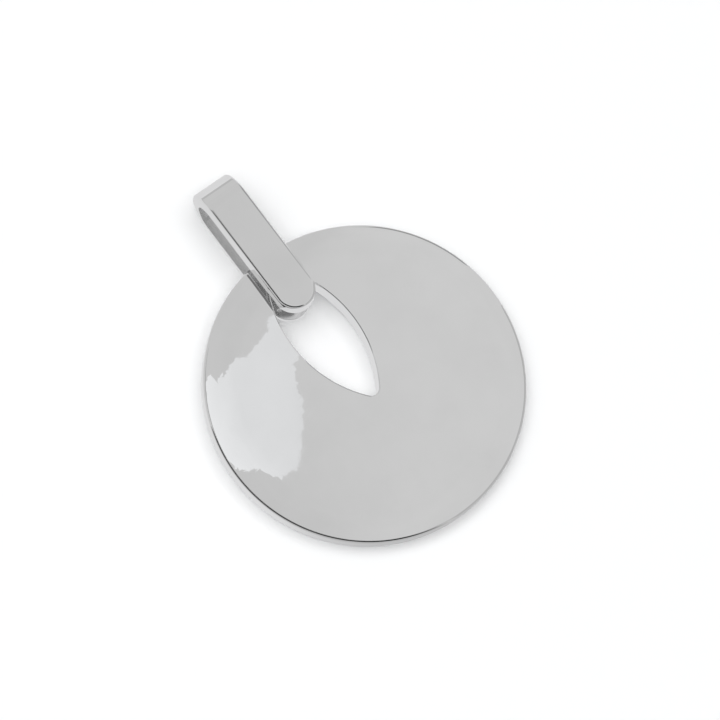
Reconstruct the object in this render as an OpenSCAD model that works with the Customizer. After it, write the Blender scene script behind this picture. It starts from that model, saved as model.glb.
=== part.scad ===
// Disc pendant, lying on a flat surface.
// A round polished plate with a leaf-shaped hole hangs in a flattened strap loop, the bail.
// The bail lies on its back strap. The disc leans on that strap with one side and touches the
// surface near its rim on the other side.
// Lengths are in millimetres. +Z is up, and +Y runs from the disc towards the fold of the bail.
// The origin is under the middle of the whole pendant, on the surface.

/* [Disc] */
// Diameter of the disc
disc_d = 32; // [28:0.5:45]
// Thickness of the disc where its faces are flat
disc_t = 2.5; // [2:0.1:2.9]
// Width of the ring beside the rim in which each face rolls off
roll_w = 3.5; // [2:0.1:4.5]
// Radius of that roll-off, seen in section
roll_r = 30; // [24:1:60]
// Radius that breaks the two edges of the rim
rim_r = 0.3; // [0.1:0.05:0.5]

/* [Leaf hole] */
// Length of the hole, measured between its points before they are rounded
hole_l = 17; // [15:0.1:17.8]
// Width of the hole at its middle
hole_w = 6.5; // [5.6:0.1:9]
// Width of the bridge of metal between the hole and the rim
bridge_w = 1.45; // [1.1:0.05:3]
// Radius of the hole's two rounded points
hole_tip_r = 0.8; // [0.3:0.05:1.2]

/* [Bail] */
// Length of the bail from its closed end to its fold
bail_l = 16; // [13:0.1:22]
// Width of the strap
bail_w = 4.2; // [3:0.1:4.6]
// Height of the slot between the front strap and the back strap
slot_h = 3.5; // [3.1:0.1:3.9]
// Thickness of the front strap
front_t = 1.6; // [0.8:0.1:2.2]
// Thickness of the back strap
back_t = 1; // [0.7:0.05:1.2]
// Thickness of the metal at the fold
fold_t = 1.2; // [0.6:0.1:2]
// Thickness of the closed end, from the front strap's end to the slot
end_t = 1.8; // [1.5:0.1:2.2]
// Length by which the front strap's end reaches past the back strap's end
front_over = 0.35; // [0.1:0.05:0.5]
// Depth of the groove round the closed end between the two straps
neck_in = 0.5; // [0.1:0.05:0.7]
// Radius that breaks the bail's outer edges
bail_r = 0.25; // [0.1:0.05:0.4]
// Radius of the slot's two corners at the closed end
slot_r = 0.6; // [0.3:0.05:0.6]

/* [Fit] */
// Slack of the bail on the bridge, measured inside the bail's closed end
bridge_slack = 3.75; // [3.4:0.05:4.8]
// Angle by which the disc has turned in the bail's slot, seen from above
disc_turn = 3.8; // [0:0.1:5]
// Clearance between the disc and the back strap that it leans on
lean_gap = 0.05; // [0.02:0.01:0.2]

/* [Hidden] */

// Facets of a full circle on small, middling and wide arcs
fn_small = 48;
fn_mid = 120;
fn_wide = 360;

// Length that a cutting shape reaches past what it cuts
cut_over = 1;

disc_color = [0.78, 0.78, 0.79];
bail_color = [0.75, 0.75, 0.76];

disc_r = disc_d / 2;
// Radius of the flat middle of each face
flat_r = disc_r - roll_w;

// Section of the rim: the centres of its edge circles lie on radius rim_c, and the roll-off
// meets an edge circle where the line through both arcs' centres leaves the edge circle
rim_c = disc_r - rim_r;
rim_drop = roll_r - sqrt(pow(roll_r - rim_r, 2) - pow(rim_c - flat_r, 2));
rim_join = flat_r + (rim_c - flat_r) * roll_r / (roll_r - rim_r);

// The hole's sides are two arcs of radius side_r, centred side_c beyond its long axis
side_r = (pow(hole_l / 2, 2) + pow(hole_w / 2, 2)) / hole_w;
side_c = side_r - hole_w / 2;
// Centre of a tip circle, and the place where the side arcs meet it
tip_c = sqrt(pow(side_r - hole_tip_r, 2) - pow(side_c, 2));
tip_join = tip_c * side_r / (side_r - hole_tip_r);

// Distances from the disc's centre to the bridge, to the middle of the hole and to the outside
// of the bail's closed end
bridge_off = disc_r - bridge_w;
hole_off = bridge_off - tip_c - hole_tip_r;
end_off = bridge_off - bridge_slack - end_t;

// The closed end stands in the middle of the turned hole, so the bail lies beside the disc's
// centre
bail_x = -(end_off + bail_w / 2) * sin(disc_turn);

// Y at which the side arc of the turned hole crosses the side of the strap there. The side is -1
// for the strap's left and 1 for its right.
function cross_y(side) = hole_off * cos(disc_turn) - side * side_c * sin(disc_turn) + sqrt(
    pow(side_r, 2)
    - pow(side * (bail_w / 2 + side_c * cos(disc_turn)) + bail_x + hole_off * sin(disc_turn), 2));

// The leaning disc comes closest to the back strap at the nearer of the two crossings
meet_y = min(cross_y(-1), cross_y(1));

// The disc rolls on its lower roll-off arc, whose centre stays roll_r above the surface, until
// its underside at meet_y is as high as the back strap's top and the clearance:
//   roll_r + arm * sin(lean) - roll_r * cos(lean) = back_t + lean_gap
arm = meet_y + flat_r;
lean = atan2(roll_r, arm) + asin((back_t + lean_gap - roll_r) / norm([arm, roll_r]));

// Y of a point of the leaning disc, which lies at y and z while the disc is flat
function leaned_y(y, z) = (y + flat_r) * cos(lean) - (z - roll_r) * sin(lean) - flat_r;

bail_h = front_t + slot_h + back_t;
// Distance from the front strap's end to the middle of the back strap's round end
back_mid = front_over + bail_w / 2;
end_y = leaned_y(end_off, disc_t / 2);
fold_y = end_y + bail_l;
// Lowest Y of the leaning disc, on the upper edge circle of its rim
rim_y = leaned_y(-rim_c, disc_t - rim_drop) - rim_r;
mid_y = (fold_y + rim_y) / 2;

// Half of the disc's section, from its axis to the rim
module disc_section() {
    square([flat_r, disc_t]);
    intersection() {
        translate([flat_r, disc_t - roll_r]) circle(roll_r, $fn = fn_wide);
        translate([flat_r, roll_r]) circle(roll_r, $fn = fn_wide);
        square([rim_join, disc_t]);
    }
    translate([rim_c, rim_drop]) square([rim_r, disc_t - 2 * rim_drop]);
    for (z = [rim_drop, disc_t - rim_drop])
        translate([rim_c, z]) circle(rim_r, $fn = fn_small);
}

// Outline of the leaf-shaped hole, with its long axis along Y
module leaf() {
    intersection() {
        translate([-side_c, 0]) circle(side_r, $fn = fn_wide);
        translate([side_c, 0]) circle(side_r, $fn = fn_wide);
        square([2 * side_r, 2 * tip_join], center = true);
    }
    for (side = [-1, 1])
        translate([0, side * tip_c]) circle(hole_tip_r, $fn = fn_small);
}

// Polished plate with the hole, turned in its own plane and leaning on the back strap
module disc() {
    color(disc_color)
    translate([0, -flat_r - mid_y, roll_r])
    rotate([lean, 0, 0])
    translate([0, flat_r, -roll_r])
    difference() {
        rotate_extrude($fn = fn_wide) disc_section();
        rotate([0, 0, disc_turn])
            translate([0, hole_off, -cut_over])
            linear_extrude(height = disc_t + 2 * cut_over) leaf();
    }
}

// Rectangle of size w by h, centred across and standing on Y = 0, with corners of radius bail_r
module strap_section(w, h) {
    translate([-w / 2 + bail_r, 0]) square([w - 2 * bail_r, h]);
    translate([-w / 2, bail_r]) square([w, h - 2 * bail_r]);
    for (x = [bail_r - w / 2, w / 2 - bail_r], y = [bail_r, h - bail_r])
        translate([x, y]) circle(bail_r, $fn = fn_small);
}

// The layer of that rectangle between two heights
module strap_layer(w, h, low, high) {
    intersection() {
        strap_section(w, h);
        translate([-w / 2, low]) square([w, high - low]);
    }
}

// The right half of that layer, to turn about its middle line
module half_layer(w, h, low, high) {
    intersection() {
        strap_layer(w, h, low, high);
        square([w, h]);
    }
}

// Outside of the bail without its slot. The fold is round as seen from the side. At the closed
// end each strap ends in a half round, and the neck that joins them is set in.
module bail_body() {
    front_low = bail_h - front_t;
    translate([0, bail_w / 2, 0])
        rotate_extrude($fn = fn_mid) half_layer(bail_w, bail_h, front_low, bail_h);
    translate([0, back_mid, 0]) {
        rotate([90, 0, 0])
            linear_extrude(height = front_over)
            strap_layer(bail_w, bail_h, front_low, bail_h);
        rotate_extrude($fn = fn_mid) half_layer(bail_w, bail_h, 0, back_t);
        translate([0, 0, back_t / 2])
            cylinder(h = bail_h - (back_t + front_t) / 2, r = bail_w / 2 - neck_in,
                $fn = fn_mid);
    }
    translate([0, bail_l - bail_h / 2, 0])
        rotate([90, 0, 0])
        linear_extrude(height = bail_l - bail_h / 2 - back_mid)
        strap_section(bail_w, bail_h);
    translate([-bail_w / 2, bail_l - bail_h / 2, bail_h / 2])
        rotate([0, 90, 0])
        rotate_extrude($fn = fn_mid) half_layer(bail_h, bail_w, 0, bail_w);
}

// Side view of the slot: round at the fold, with small corners at the closed end
module slot_outline() {
    round_y = bail_l - fold_t - slot_h / 2;
    translate([round_y, slot_h / 2]) circle(slot_h / 2, $fn = fn_mid);
    translate([end_t + slot_r, 0]) square([round_y - end_t - slot_r, slot_h]);
    translate([end_t, slot_r]) square([round_y - end_t, slot_h - 2 * slot_r]);
    for (z = [slot_r, slot_h - slot_r])
        translate([end_t + slot_r, z]) circle(slot_r, $fn = fn_small);
}

// Soldered strap loop that holds the disc and takes the chain at its fold
module bail() {
    color(bail_color)
    translate([bail_x, end_y - mid_y, 0])
    difference() {
        bail_body();
        translate([-bail_w / 2 - cut_over, 0, back_t])
            rotate([90, 0, 90])
            linear_extrude(height = bail_w + 2 * cut_over) slot_outline();
    }
}

disc();
bail();
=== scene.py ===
# A disc pendant of solid silver, lying on a white table: a round polished plate with a
# leaf-shaped hole, and the flattened strap loop, the bail, that holds it by the bridge of metal
# between the hole and the rim. Lengths are in metres and written in millimetres as 3.5 * mm.
# +Y runs from the plate to the fold of the bail, and the table's top is at Z = 0.

import math

import bpy
import numpy as np
from mathutils import Matrix, Vector


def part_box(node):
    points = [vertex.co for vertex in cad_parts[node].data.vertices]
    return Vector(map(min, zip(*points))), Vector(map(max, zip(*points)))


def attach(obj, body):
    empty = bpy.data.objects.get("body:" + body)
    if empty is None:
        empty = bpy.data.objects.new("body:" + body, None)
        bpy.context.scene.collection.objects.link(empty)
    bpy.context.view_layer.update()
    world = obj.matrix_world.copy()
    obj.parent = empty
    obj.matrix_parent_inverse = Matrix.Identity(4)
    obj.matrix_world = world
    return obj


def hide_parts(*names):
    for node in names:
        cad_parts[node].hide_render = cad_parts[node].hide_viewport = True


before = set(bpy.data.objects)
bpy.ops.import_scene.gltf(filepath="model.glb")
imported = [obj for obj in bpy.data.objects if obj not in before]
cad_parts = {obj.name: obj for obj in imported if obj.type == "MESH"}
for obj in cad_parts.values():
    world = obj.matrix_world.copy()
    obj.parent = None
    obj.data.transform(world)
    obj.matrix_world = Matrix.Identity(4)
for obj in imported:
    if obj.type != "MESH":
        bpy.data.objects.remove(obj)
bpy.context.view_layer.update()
mm = 0.001


# The plate. On the real piece it is a blank cut from thick silver sheet, pierced, domed off
# towards its rim on both faces and polished to a mirror. It leans on the bail's back strap.
# Its faces are flat in the middle and roll off in a wide arc, and every edge is just broken.

plate_low, plate_high = (np.array(corner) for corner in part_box("disc"))
plate_middle = (plate_low + plate_high) / 2
plate_radius = (plate_high[0] - plate_low[0]) / 2
plate_thickness = 2.5 * mm
plate_turn = math.radians(3.8)

roll_width = 3.5 * mm
roll_radius = 30 * mm
rim_round = 0.3 * mm

hole_length = 17 * mm
hole_width = 6.5 * mm
hole_tip_round = 0.8 * mm
hole_edge_round = 0.15 * mm
bridge_width = 1.45 * mm

side_stations = 210
tip_stations = 70
hole_edge_rows = 7
face_rows = 28
face_crowding = 1.7
rim_rows = 9


def largest_face_lean(node):
    """Angle about X by which the node's largest upward triangle is tipped out of level."""
    mesh = node.data
    area = np.empty(len(mesh.polygons))
    normal = np.empty((len(mesh.polygons), 3))
    mesh.polygons.foreach_get("area", area)
    mesh.polygons.foreach_get("normal", normal.ravel())
    facing = normal[np.argmax(area * (normal[:, 2] > 0))]
    return math.atan2(-facing[1], facing[2])


def leaf_outline():
    """Points of the hole's outline in the flat plate, and the direction out of the hole at each.

    Two wide side arcs and two tip arcs join without a corner, so the direction turns steadily
    once round, and each point is its arc's centre plus the arc's radius in that direction.
    """
    spread = math.atan2(tip_centre, side_centre)
    bounds = [-spread, spread, math.pi - spread, math.pi + spread, 2 * math.pi - spread]
    counts = [side_stations, tip_stations, side_stations, tip_stations]
    turn = np.concatenate([
        np.linspace(start, stop, count, endpoint=False)
        for start, stop, count in zip(bounds, bounds[1:], counts)
    ])
    away = np.stack([np.cos(turn), np.sin(turn)], axis=-1)
    centre_x = np.repeat([-side_centre, 0, side_centre, 0], counts)
    centre_y = np.repeat([0, tip_centre, 0, -tip_centre], counts) + hole_middle
    radius = np.repeat([side_radius, hole_tip_round, side_radius, hole_tip_round], counts)
    return np.stack([centre_x, centre_y], axis=-1) + radius[:, None] * away, away


def face_height(reach):
    """Height of the plate's upper face above its middle plane at that distance from its centre:
    flat, then an arc of radius roll_radius."""
    past = np.maximum(reach - flat_radius, 0)
    return plate_thickness / 2 - roll_radius + np.sqrt(roll_radius**2 - past**2)


def on_ray(middle, along, reach):
    """Where rays from a middle point, along unit directions, come to that distance from 0, 0."""
    ahead = -(along @ middle)
    travel = ahead + np.sqrt(ahead**2 - middle @ middle + reach**2)
    return middle + along * travel[..., None]


def plate_rows():
    """Rows of points and normals over the plate's upper half, from the wall of the hole, round
    the hole's edge, over the face and round the rim's upper edge to the rim's wall.

    A row has one point for each station of the hole's outline. Near the hole it is the outline
    set back, near the rim a circle, and in between it runs in straight lines from one to the
    other. The face's normal leans outwards as its arc does.
    """
    outline, away = leaf_outline()
    middle = np.array([0, hole_middle])
    along = outline - middle
    along /= np.linalg.norm(along, axis=1, keepdims=True)
    points, normals = [], []

    def add(flat, height, level, rise):
        points.append(np.concatenate([flat, height[:, None]], axis=1))
        normals.append(np.concatenate([level, rise[:, None]], axis=1))

    for angle in np.linspace(0, math.pi / 2, hole_edge_rows):
        flat = outline + away * hole_edge_round * (1 - math.cos(angle))
        drop = hole_edge_round * (1 - math.sin(angle))
        height = face_height(np.linalg.norm(flat, axis=1)) - drop
        rise = np.full(len(flat), math.sin(angle))
        add(flat, height, -away * math.cos(angle), rise)

    start, stop = flat, on_ray(middle, along, rim_join)
    for share in 1 - (1 - np.linspace(0, 1, face_rows)[1:-1]) ** face_crowding:
        flat = start + (stop - start) * share
        reach = np.linalg.norm(flat, axis=1)
        slope = np.maximum(reach - flat_radius, 0) / roll_radius
        add(flat, face_height(reach), flat / reach[:, None] * slope[:, None],
            np.sqrt(1 - slope**2))

    join_angle = math.asin((rim_join - flat_radius) / roll_radius)
    for angle in np.linspace(join_angle, math.pi / 2, rim_rows):
        reach = rim_centre + rim_round * math.sin(angle)
        flat = on_ray(middle, along, reach)
        height = np.full(len(flat), rim_height + rim_round * math.cos(angle))
        rise = np.full(len(flat), math.cos(angle))
        add(flat, height, flat / reach * math.sin(angle), rise)
    return np.array(points), np.array(normals)


def ring_mesh(name, points, normals, rows_wrap=True):
    """One closed mesh from a grid of points, rows by stations. The stations wrap round, and so
    do the rows, unless the first and the last row each close on themselves."""
    number = np.arange(points.shape[0] * points.shape[1]).reshape(points.shape[:2])
    below, beside = np.roll(number, -1, axis=0), np.roll(number, -1, axis=1)
    across = np.roll(below, -1, axis=1)
    faces = np.stack([number, below, across, beside], axis=-1)
    faces = (faces if rows_wrap else faces[:-1]).reshape(-1, 4)
    mesh = bpy.data.meshes.new(name)
    mesh.from_pydata(points.reshape(-1, 3).tolist(), [], faces.tolist())
    mesh.polygons.foreach_set("use_smooth", np.ones(len(faces), dtype=bool))
    unit = normals / np.linalg.norm(normals, axis=-1, keepdims=True)
    mesh.normals_split_custom_set_from_vertices(unit.reshape(-1, 3).tolist())
    piece = bpy.data.objects.new(name, mesh)
    bpy.context.scene.collection.objects.link(piece)
    return piece


flat_radius = plate_radius - roll_width
rim_centre = plate_radius - rim_round
rim_height = plate_thickness / 2 - roll_radius + math.sqrt(
    (roll_radius - rim_round) ** 2 - (rim_centre - flat_radius) ** 2)
rim_join = flat_radius + (rim_centre - flat_radius) * roll_radius / (roll_radius - rim_round)

side_radius = ((hole_length / 2) ** 2 + (hole_width / 2) ** 2) / hole_width
side_centre = side_radius - hole_width / 2
tip_centre = math.sqrt((side_radius - hole_tip_round) ** 2 - side_centre**2)
hole_middle = plate_radius - bridge_width - tip_centre - hole_tip_round

# The lower half mirrors the upper one, and the whole is turned, leaned and set in its place
upper_points, upper_normals = plate_rows()
mirror = np.array([1, 1, -1])
plate_points = np.concatenate([upper_points, upper_points[::-1] * mirror])
plate_normals = np.concatenate([upper_normals, upper_normals[::-1] * mirror])
plate_lean = largest_face_lean(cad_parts["disc"])
plate_pose = np.array(
    Matrix.Rotation(plate_lean, 3, "X") @ Matrix.Rotation(plate_turn, 3, "Z"))
plate = ring_mesh(
    "plate", plate_points @ plate_pose.T + plate_middle, plate_normals @ plate_pose.T)
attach(plate, "root")
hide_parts("disc")


class Wire:
    """An output of a shader node. Arithmetic on wires adds Math nodes to the same tree."""

    def __init__(self, tree, socket=None):
        self.tree = tree
        self.socket = socket

    def node(self, kind, settings=None, values=None, output=0):
        """Adds a node of that type, sets it up, then fills or links its sockets by name or
        number, and gives the wire from one of its outputs."""
        node = self.tree.nodes.new(kind)
        for key, value in (settings or {}).items():
            setattr(node, key, value)
        for key, value in (values or {}).items():
            if isinstance(value, Wire):
                self.tree.links.new(value.socket, node.inputs[key])
            else:
                node.inputs[key].default_value = value
        return Wire(self.tree, node.outputs[output] if node.outputs else None)

    def maths(self, operation, first, second):
        """The result of one Math node."""
        return self.node("ShaderNodeMath", {"operation": operation}, {0: first, 1: second})

    def __add__(self, other):
        return self.maths("ADD", self, other)

    def __radd__(self, other):
        return self.maths("ADD", other, self)

    def __sub__(self, other):
        return self.maths("SUBTRACT", self, other)

    def __rsub__(self, other):
        return self.maths("SUBTRACT", other, self)

    def __mul__(self, other):
        return self.maths("MULTIPLY", self, other)

    def __rmul__(self, other):
        return self.maths("MULTIPLY", other, self)

    def step(self, low, high):
        """0 below low, 1 above high, and a smooth rise between them."""
        return self.node("ShaderNodeMapRange", {"interpolation_type": "SMOOTHSTEP"},
                         {"Value": self, "From Min": low, "From Max": high})

    def blend(self, dark, light):
        """The dark colour where this wire is 0 and the light one where it is 1. A colour is
        three numbers or a wire."""
        dark, light = (
            colour if isinstance(colour, Wire) else (*colour, 1) for colour in (dark, light))
        return self.node("ShaderNodeMix", {"data_type": "RGBA"}, {0: self, 6: dark, 7: light},
                         output=2)


def blank_material(name):
    """A new material, and the wire from which its nodes are added."""
    material = bpy.data.materials.new(name)
    material.use_nodes = True
    material.node_tree.nodes.clear()
    return material, Wire(material.node_tree)


def polished_silver(name, hairline_angles, seed, satin_and_painted_shade_box=None):
    """Mirror-polished silver: a slow wave left by the buff, sparse hairlines in a few
    directions, faint cloudy smudges and a slightly uneven tone. Inside the box, which is given by
    two corners and which the buff can't reach, the silver is satin, and painted shade makes it a
    little darker.

    Hairlines and smudges are where a noise rises past a limit. The hairlines' noise is drawn
    out along their direction.
    """
    material, start = blank_material(name)
    place = start.node("ShaderNodeTexCoord", output="Object")

    def noise(where, size, detail):
        return start.node(
            "ShaderNodeTexNoise", {"noise_dimensions": "4D"},
            {"Vector": where, "W": seed, "Scale": 1 / size, "Detail": detail})

    hairlines = None
    drawn_out = hairline_length / hairline_breadth
    for angle in hairline_angles:
        lengthwise = start.node(
            "ShaderNodeMapping", {"vector_type": "TEXTURE"},
            {"Vector": place, "Rotation": (0, 0, math.radians(angle)),
             "Scale": (drawn_out, 1, drawn_out)})
        lines = noise(lengthwise, hairline_breadth, 1).step(*hairline_limits)
        hairlines = lines if hairlines is None else hairlines + lines
    smudges = noise(place, smudge_size, 3).step(*smudge_limits)
    wave = noise(place, wave_length, 1)
    height = wave * wave_height + hairlines * -hairline_depth
    roughness = (mirror_roughness + smudges * smudge_roughness
                 + hairlines * hairline_roughness)
    colour = smudges.blend(silver_clean, silver_smudged)
    if satin_and_painted_shade_box:
        inside = None
        for axis, (low, high) in enumerate(zip(*satin_and_painted_shade_box)):
            along = start.node("ShaderNodeSeparateXYZ", values={"Vector": place}, output=axis)
            within = along.step(low - satin_and_shade_edge, low) * (1 - along.step(high, high + satin_and_shade_edge))
            inside = within if inside is None else inside * within
        # Inside the box the roughness is the satin finish, and the darker colour is painted shade
        # in the slot
        roughness = roughness + inside * satin_roughness
        colour = inside.blend(colour, satin_silver_painted_shade)
    bumped = start.node("ShaderNodeBump", values={"Height": height, "Distance": 1.0})
    surface = start.node("ShaderNodeBsdfPrincipled", values={
        "Base Color": colour,
        "Metallic": 1.0,
        "Roughness": roughness,
        "Normal": bumped})
    start.node("ShaderNodeOutputMaterial", values={"Surface": surface})
    return material


silver_clean = (0.94, 0.94, 0.94)
silver_smudged = (0.91, 0.91, 0.91)
# The slot's colour: satin silver, painted a little darker as shade
satin_silver_painted_shade = (0.90, 0.90, 0.90)
mirror_roughness = 0.012
satin_roughness = 0.13
satin_and_shade_edge = 0.02 * mm

wave_length = 7 * mm
wave_height = 0.0004 * mm

smudge_size = 5 * mm
smudge_limits = (0.35, 0.75)
smudge_roughness = 0.01

hairline_breadth = 0.05 * mm
hairline_length = 6 * mm
hairline_depth = 0.00002 * mm
hairline_limits = (0.66, 0.74)
hairline_roughness = 0.05

plate.data.materials.append(polished_silver("plate_silver", (18, 71, 128), 3.0))


# The bail. On the real piece a thick silver strap is bent back on itself over a mandrel, which
# leaves the round fold, and passed through the plate's hole. Its two ends are filed to half
# rounds and soldered to a short neck that stands back between them.

bail_low, bail_high = (np.array(corner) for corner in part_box("bail"))
bail_width, bail_length, bail_height = bail_high - bail_low
bail_corner = np.array([(bail_low[0] + bail_high[0]) / 2, bail_low[1], bail_low[2]])
half_width = bail_width / 2
fold_radius = bail_height / 2
fold_centre = np.array([bail_length - fold_radius, fold_radius])

front_thickness = 1.6 * mm
back_thickness = 1 * mm
fold_thickness = 1.2 * mm
slot_height = 3.5 * mm
bail_edge_round = 0.28 * mm
slot_edge_round = 0.05 * mm
front_overhang = 0.35 * mm
side_draw_in = 0.05 * mm
side_lean = math.radians(4)

end_rows = 40
strap_rows = 30
fold_rows = 90
outer_edge_points = 11
slot_edge_points = 7
flat_points = 6


def strap_half_section():
    """The right half of the strap's section, from the middle of its outer face, round the side,
    to the middle of its face in the slot.

    For each point: the distance from the middle line, whether it belongs to the outer face, how
    far it lies below its own face, and the sideways and straight parts of its normal. The side
    is upright at the slot and leans in a little where it meets the outer edge.
    """
    middle = np.linspace(0, 1, flat_points, endpoint=False)
    parts = []
    for outer, radius, count, inset, lean in (
            (True, bail_edge_round, outer_edge_points, side_draw_in, side_lean),
            (False, slot_edge_round, slot_edge_points, 0, 0)):
        angle = np.linspace(0, math.pi / 2 - lean, count)
        centre = half_width - inset - radius
        across = np.concatenate([middle * centre, centre + radius * np.sin(angle)])
        sunk = np.concatenate([0 * middle, radius * (1 - np.cos(angle))])
        sideways = np.concatenate([0 * middle, np.sin(angle)])
        straight = np.concatenate([0 * middle + 1, np.cos(angle)])
        part = np.stack([across, np.full(len(across), float(outer)), sunk, sideways, straight])
        parts.append(part if outer else part[:, ::-1])
    return np.concatenate(parts, axis=1)


def strap_stations():
    """Stations along the strap's face in the slot, from the front end round the fold to the back
    end: the point's Y and Z, the direction into the strap, the strap's thickness, the normal of
    its outer face, and the angle to which the section's halves are opened.

    At the two ends the halves fold together about an upright axis, which makes the half rounds.
    At the fold the slot and the outside are circles about different centres.
    """
    slot_top = back_thickness + slot_height
    round_y = bail_length - fold_thickness - slot_height / 2
    front_end, back_end = half_width, half_width + front_overhang
    quarter = math.pi / 2
    opening = np.linspace(0, quarter, end_rows, endpoint=False)
    run = np.linspace(0, 1, strap_rows, endpoint=False)
    turn = np.linspace(quarter, -quarter, fold_rows)

    out = np.stack([np.cos(turn), np.sin(turn)], axis=-1)
    inner = np.array([round_y, back_thickness + slot_height / 2]) + slot_height / 2 * out
    behind = inner - fold_centre
    ahead = np.sum(behind * out, axis=-1)
    thickness = -ahead + np.sqrt(ahead**2 - np.sum(behind**2, axis=-1) + fold_radius**2)
    outward = (inner + thickness[:, None] * out - fold_centre) / fold_radius

    def straight(y, z, up, thick, angle):
        return np.stack([y, 0 * y + z, 0 * y, 0 * y + up, 0 * y + thick, 0 * y, 0 * y + up, angle])

    fold = np.stack([inner[:, 0], inner[:, 1], out[:, 0], out[:, 1], thickness,
                     outward[:, 0], outward[:, 1], 0 * turn + quarter])
    back_y = round_y + (back_end - round_y) * run
    return np.concatenate([
        straight(0 * opening + front_end, slot_top, 1, front_thickness, opening),
        straight(front_end + (round_y - front_end) * run, slot_top, 1, front_thickness,
                 0 * run + quarter),
        fold,
        straight(back_y, back_thickness, -1, back_thickness, 0 * run + quarter)[:, 1:],
        straight(0 * opening + back_end, back_thickness, -1, back_thickness,
                 quarter - opening),
        straight(np.array([back_end]), back_thickness, -1, back_thickness, np.zeros(1)),
    ], axis=1)


def strap_grid():
    """Points and normals of the strap, stations by points round the section."""
    across, outer, sunk, sideways, straight = strap_half_section()
    side = np.concatenate([-np.ones(len(across)), np.ones(len(across) - 2)])
    both = np.concatenate([np.arange(len(across)), np.arange(len(across) - 2, 0, -1)])
    across, outer, sunk, sideways, straight = (
        part[both] for part in (across, outer, sunk, sideways, straight))

    y, z, into_y, into_z, thickness, out_y, out_z, angle = strap_stations()[..., None]
    depth = np.where(outer > 0, thickness - sunk, sunk)
    points = np.stack([
        side * across * np.sin(angle),
        y + into_y * depth - across * np.cos(angle),
        z + into_z * depth], axis=-1)
    normals = np.stack([
        side * sideways * np.sin(angle),
        np.where(outer > 0, out_y, -into_y) * straight - sideways * np.cos(angle),
        np.where(outer > 0, out_z, -into_z) * straight], axis=-1)
    return points, normals


strap_points, strap_normals = strap_grid()
loop = ring_mesh("loop", strap_points + bail_corner, strap_normals, rows_wrap=False)
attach(loop, "root")
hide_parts("bail")
# Box of the slot, where the loop's silver is satin and painted darker as shade
slot_reach = half_width - slot_edge_round
slot_box = (bail_corner + np.array([-slot_reach, 0, back_thickness - satin_and_shade_edge]),
            bail_corner + np.array([slot_reach, bail_length - fold_thickness,
                                    back_thickness + slot_height + satin_and_shade_edge]))
loop.data.materials.append(polished_silver("loop_silver", (84, 101, 23), 11.0, slot_box))

# The neck between the strap's ends: a half round from the outside, flat towards the slot, where
# the solder leaves a fillet against each strap

end_thickness = 1.8 * mm
slot_corner = 0.6 * mm
neck_set_in = 0.5 * mm
neck_edge = 0.04 * mm
neck_fillet_rows = 14
neck_round_points = 48
neck_flat_points = 12


def neck_grid():
    """Points and normals of the neck, levels by points round its level section. Each section is
    cut off a circle by a straight line, which is the slot's end at that level."""
    radius = half_width - neck_set_in
    centre = half_width + front_overhang
    angle = np.linspace(math.pi / 2, 0, neck_fillet_rows)
    low = back_thickness + slot_corner * (1 - np.sin(angle))
    wall = end_thickness + slot_corner * (1 - np.cos(angle))
    z = np.concatenate([low, 2 * back_thickness + slot_height - low[::-1]])
    wall = np.concatenate([wall, wall[::-1]])[:, None]
    rise = np.concatenate([np.sin(angle), -np.sin(angle[::-1])])[:, None]
    # The first and the last level are inside the straps
    z[0] -= back_thickness / 2
    z[-1] += back_thickness / 2

    reach = np.arccos((centre - wall) / radius) - neck_edge / radius
    turn = reach * np.linspace(1, -1, neck_round_points)
    half_chord = np.sqrt(radius**2 - (centre - wall) ** 2) - neck_edge
    chord = half_chord * np.linspace(-1, 1, neck_flat_points)
    points = np.stack([
        np.concatenate([radius * np.sin(turn), chord], axis=1),
        np.concatenate([centre - radius * np.cos(turn), 0 * chord + wall], axis=1),
        z[:, None] + np.zeros(neck_round_points + neck_flat_points)], axis=-1)
    normals = np.stack([
        np.concatenate([np.sin(turn), 0 * chord], axis=1),
        np.concatenate([-np.cos(turn), 0 * chord + np.sqrt(1 - rise**2)], axis=1),
        np.concatenate([0 * turn, 0 * chord + rise], axis=1)], axis=-1)
    return points, normals


neck_points, neck_normals = neck_grid()
neck = ring_mesh("neck", neck_points + bail_corner, neck_normals, rows_wrap=False)
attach(neck, "root")
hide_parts("bail")
neck.data.materials.append(polished_silver("neck_silver", (12, 57, 95), 5.0))


# The camera looks steeply down at the pendant from the plate's side, turned so that the bail
# points to the upper left of the picture.

camera_aim = Vector((1.213 * mm, -2.199 * mm, 1.5 * mm))
camera_distance = 295.87 * mm
camera_elevation = math.radians(73.98)
camera_azimuth = math.radians(-147.97)
camera_roll = math.radians(21.66)
camera_clip = 10 * mm
# Blender takes the lens and the film in millimetres
lens_length = 150
film_width = 36

back = Vector((math.cos(camera_elevation) * math.cos(camera_azimuth),
               math.cos(camera_elevation) * math.sin(camera_azimuth),
               math.sin(camera_elevation)))
level = Vector((0, 0, 1)).cross(back).normalized()
turned = Matrix.Rotation(camera_roll, 3, back)
right = turned @ level
pose = Matrix((right, back.cross(right), back)).transposed().to_4x4()
pose.translation = camera_aim + back * camera_distance

camera = bpy.data.objects.new("camera", bpy.data.cameras.new("camera"))
camera.data.lens = lens_length
camera.data.sensor_width = film_width
camera.data.clip_start = camera_clip
camera.matrix_world = pose
bpy.context.scene.collection.objects.link(camera)
bpy.context.scene.camera = camera


# The table is a sheet of matt white card, lit from above until it is as good as white. The
# silver doesn't mirror it, but the greyer sheet that is made with the light.

table_size = 1.2
table_white = (0.93, 0.935, 0.94)


def stage_card(name, corners, faces, material):
    """A card of the surroundings, which isn't part of the pendant."""
    mesh = bpy.data.meshes.new(name)
    mesh.from_pydata(corners.tolist(), [], faces)
    mesh.materials.append(material)
    card = bpy.data.objects.new(name, mesh)
    bpy.context.scene.collection.objects.link(card)
    return card


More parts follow.
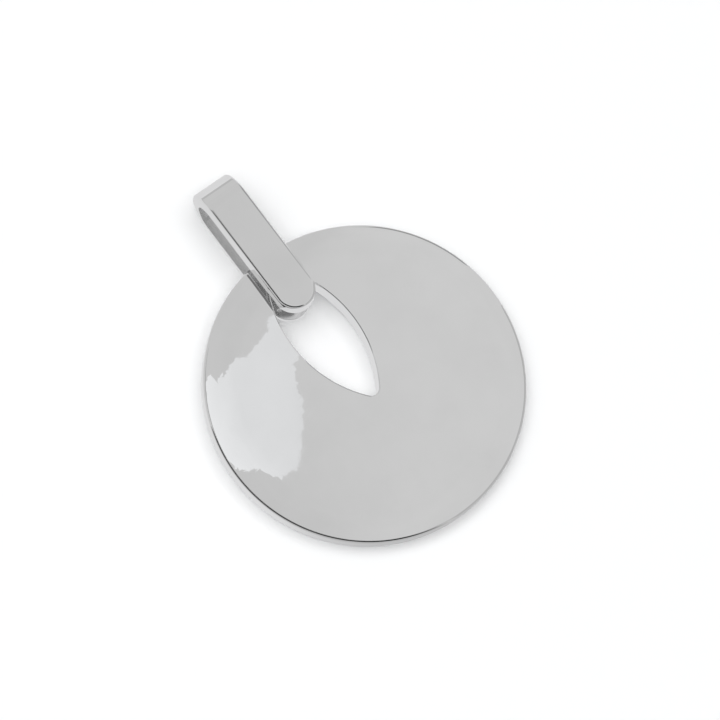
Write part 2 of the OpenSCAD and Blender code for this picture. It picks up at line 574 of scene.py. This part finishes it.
def level_square(size, height):
    """Corners of a level square over the origin."""
    corners = size / 2 * np.array([(-1, -1), (1, -1), (1, 1), (-1, 1)])
    return np.concatenate([corners, np.full((4, 1), height)], axis=1)


def one_face(corners):
    """The one face of a card, through all its corners in order."""
    return [tuple(range(len(corners)))]


table_corners = level_square(table_size, 0)
paper, start = blank_material("table_white")
start.node("ShaderNodeOutputMaterial", values={"Surface": start.node(
    "ShaderNodeBsdfDiffuse", values={"Color": (*table_white, 1)})})
table = stage_card("table", table_corners, one_face(table_corners), paper)
table.visible_glossy = False


# The light. Two broad lamps overhead and a grey room light the table, and the silver sees
# neither. It mirrors glowing cards, which nothing else sees: a sheet in the table's place, the
# walls and screens of the room, the camera's stand, the ceiling, and a window with a torn edge.

room_grey = 0.317
lamp_size = 1.0
lamp_height = 1.0

room = bpy.data.worlds.new("room")
room.use_nodes = True
room.node_tree.nodes.clear()
air = Wire(room.node_tree)
air.node("ShaderNodeOutputWorld", values={"Surface": air.node(
    "ShaderNodeBackground", values={"Color": (room_grey, room_grey, room_grey, 1),
                                    "Strength": 1.0})})
bpy.context.scene.world = room


def broad_lamp(name, x, y, watts):
    """A square lamp that shines straight down, and that the silver doesn't mirror."""
    lamp = bpy.data.objects.new(name, bpy.data.lights.new(name, "AREA"))
    lamp.data.size = lamp_size
    lamp.data.energy = watts
    lamp.location = (x, y, lamp_height)
    lamp.visible_glossy = False
    bpy.context.scene.collection.objects.link(lamp)


broad_lamp("lamp", x=0, y=0, watts=7.6)
broad_lamp("side_lamp", x=-0.36, y=0.27, watts=4.0)

cloud_limits = (0.3, 0.7)
cloud_share = 0.2


def glow_card(name, corners, faces, colour, spread=0.0, cloud_size=0.1, slant=None):
    """A card that gives off light. Only the silver sees it, in its reflections. It lights and
    shades nothing.

    The light's strength varies by the spread either way, in clouds. A slant is a direction and
    two distances along it, and where there is one, the strength mostly goes from dim at the
    first distance to bright at the second.
    """
    material, start = blank_material(name)
    place = start.node("ShaderNodeTexCoord", output="Object")
    shade = start.node("ShaderNodeTexNoise", values={
        "Vector": place, "Scale": 1 / cloud_size, "Detail": 3}).step(*cloud_limits)
    if slant:
        direction, dim_at, bright_at = slant
        along = start.node("ShaderNodeVectorMath", {"operation": "DOT_PRODUCT"},
                           {0: place, 1: direction}, output="Value")
        shade = shade * cloud_share + along.step(dim_at, bright_at) * (1 - cloud_share)
    bright, dim = np.array(colour) * (1 + spread), np.array(colour) * (1 - spread)
    surface = start.node("ShaderNodeEmission", values={"Color": shade.blend(dim, bright)})
    start.node("ShaderNodeOutputMaterial", values={"Surface": surface})
    card = stage_card(name, corners, faces, material)
    card.visible_camera = False
    card.visible_diffuse = False
    card.visible_shadow = False


# In the table's place the silver mirrors a greyer sheet, because a mirrored white would wash out
# every edge. It is dimmer beside the plate's near edge, a painted shadow of the pendant, and lies
# a hair above the table.
mirrored_rise = 0.004 * mm
mirrored_white = (0.62, 0.62, 0.625)
along_pendant = (-0.137, 0.99, 0)
# The slant along the pendant is painted shadow: the sheet is dim past the plate's near edge
glow_card("mirrored_table", table_corners + np.array([0, 0, mirrored_rise]),
          one_face(table_corners), mirrored_white, spread=0.22,
          slant=(along_pendant, -18 * mm, -6 * mm))

# Walls and screens. The near screen is almost black and draws the thin dark lines along the
# plate's and the bail's near edges, and the greys draw the softer lines on the other sides.
band_columns = 30
band_rows = 8
wall_reach = 0.4


def sky_band(name, grey, compass, height, reach=wall_reach):
    """A band of a sphere round the origin, between two compass angles from +X and two angles of
    height, in degrees: the height's cosine times the compass direction, and the height's sine.
    """
    turn = np.radians(np.linspace(*compass, band_columns))
    rise = np.radians(np.linspace(*height, band_rows))[:, None]
    points = reach * np.stack([
        np.cos(turn) * np.cos(rise), np.sin(turn) * np.cos(rise), 0 * turn + np.sin(rise)],
        axis=-1)
    number = np.arange(band_rows * band_columns).reshape(band_rows, band_columns)
    faces = np.stack([number[:-1, :-1], number[:-1, 1:], number[1:, 1:], number[1:, :-1]],
                     axis=-1)
    glow_card(name, points.reshape(-1, 3), faces.reshape(-1, 4).tolist(), (grey, grey, grey))


sky_band("room_light", 0.59, compass=(0, 360), height=(-1, 90), reach=2.0)
sky_band("near_screen", 0.005, compass=(-208, -84), height=(33, 66))
sky_band("near_wall", 0.4, compass=(-208, -84), height=(4, 33))
sky_band("far_screen", 0.45, compass=(-80, 0), height=(4, 58))
sky_band("side_screen", 0.3, compass=(14, 42), height=(4, 58))
sky_band("far_wall", 0.5, compass=(42, 140), height=(0, 10))

# The camera and its stand, given by angles in degrees to the right of the line of sight and
# above it
stand_reach = 0.5
stand_grey = (0.17, 0.17, 0.17)
stand_outline = np.radians([
    (-8.9, 10.3), (-18.5, 23), (-11, 30), (-6, 29), (-4.7, 25), (-2.5, 19.5), (-1, 16.5),
    (1.5, 13), (3.5, 10), (7, 7.5), (10, 7), (16, 6.5), (24, 7), (28, 2), (25, -2), (16, -6),
    (6, -7), (-3, -6), (-8, -1), (-9.5, 5)])
sight_right, sight_up, sight_back = np.array(pose.to_3x3().transposed())
stand = (sight_back + np.tan(stand_outline[:, :1]) * sight_right
         + np.tan(stand_outline[:, 1:]) * sight_up)
stand *= stand_reach / np.linalg.norm(stand, axis=1, keepdims=True)
glow_card("stand", stand, one_face(stand), stand_grey)

# The ceiling is level and covers what the flat faces mirror
ceiling_height = 0.55
ceiling_size = 1.6
ceiling_grey = (0.608, 0.608, 0.608)
across_pendant = (0.793, -0.599, 0)
ceiling = level_square(ceiling_size, ceiling_height)
glow_card("ceiling", ceiling, one_face(ceiling), ceiling_grey, spread=0.05, cloud_size=0.06,
          slant=(across_pendant, 0.025, 0.105))

# The window's outline is given where it shows on the plate, in millimetres from the plate's
# centre
window_height = 0.2
window_white = (0.79, 0.797, 0.806)
towards_bright = (-0.99, -0.14, 0)
tear_steps = 5
tear_depth = 0.12 * mm
tear_seed = 4
window_outline = np.array([
    (-2.9, 10.9), (-1.5, 9.5), (-2.5, 6.8), (-4.2, 5.9), (-4.9, 5.0), (-5.6, 4.0), (-5.9, 2.7),
    (-6.7, 1.5), (-7.9, 0.2), (-8.9, -0.7), (-9.9, -1.7), (-10.5, -2.3), (-11.2, -2.3),
    (-12.4, -2.1), (-12.9, -1.8), (-13.3, -1.2), (-13.7, -0.2), (-14.1, 0.2), (-14.7, 0.4),
    (-15.0, 1.0), (-15.6, 1.5), (-15.5, 3.6), (-14.8, 5.9), (-13.7, 8.1), (-12.5, 9.7),
    (-11.7, 10.2), (-11.4, 10.1), (-12.0, 8.9), (-11.3, 9.3), (-10.7, 9.5), (-10.5, 9.1),
    (-9.9, 9.5), (-9.5, 9.7), (-8.4, 9.9), (-7.5, 9.3), (-6.3, 9.5), (-5.5, 9.8), (-4.8, 9.8),
    (-4.1, 10.0), (-3.8, 10.6), (-3.4, 10.9)]) * mm


def torn(outline):
    """The outline with each of its sides divided evenly, and every new point shifted a little at
    random."""
    share = np.arange(tear_steps)[:, None] / tear_steps
    divided = np.concatenate([
        corner + (following - corner) * share
        for corner, following in zip(outline, np.roll(outline, -1, axis=0))])
    shift = np.random.default_rng(tear_seed).normal(0, tear_depth, divided.shape)
    return divided + shift * (np.arange(len(divided))[:, None] % tear_steps > 0)


def thrown(outline, height):
    """Where the lines of sight to an outline on the plate's upper face come to a height over the
    table, once they are mirrored there.

    A mirrored direction is the line of sight less twice its part along the face's normal.
    """
    reach = np.linalg.norm(outline, axis=1, keepdims=True)
    slope = np.maximum(reach - flat_radius, 0) / roll_radius
    points = np.concatenate([outline, face_height(reach)], axis=1) @ plate_pose.T + plate_middle
    normals = np.concatenate(
        [outline / reach * slope, np.sqrt(1 - slope**2)], axis=1) @ plate_pose.T
    sight = points - np.array(pose.translation)
    mirrored = sight - 2 * np.sum(sight * normals, axis=1, keepdims=True) * normals
    return points + mirrored * (height - points[:, 2:]) / mirrored[:, 2:]


window = thrown(torn(window_outline), window_height)
window_depth = window @ np.array(towards_bright)
glow_card("window", window, one_face(window), window_white, spread=0.09, cloud_size=0.02,
          slant=(towards_bright, window_depth.min(), window_depth.max()))

# Light bounces many times between the plate and the bail
mirror_bounces = 32
bpy.context.scene.view_settings.view_transform = "Standard"
bpy.context.scene.cycles.max_bounces = mirror_bounces
bpy.context.scene.cycles.glossy_bounces = mirror_bounces
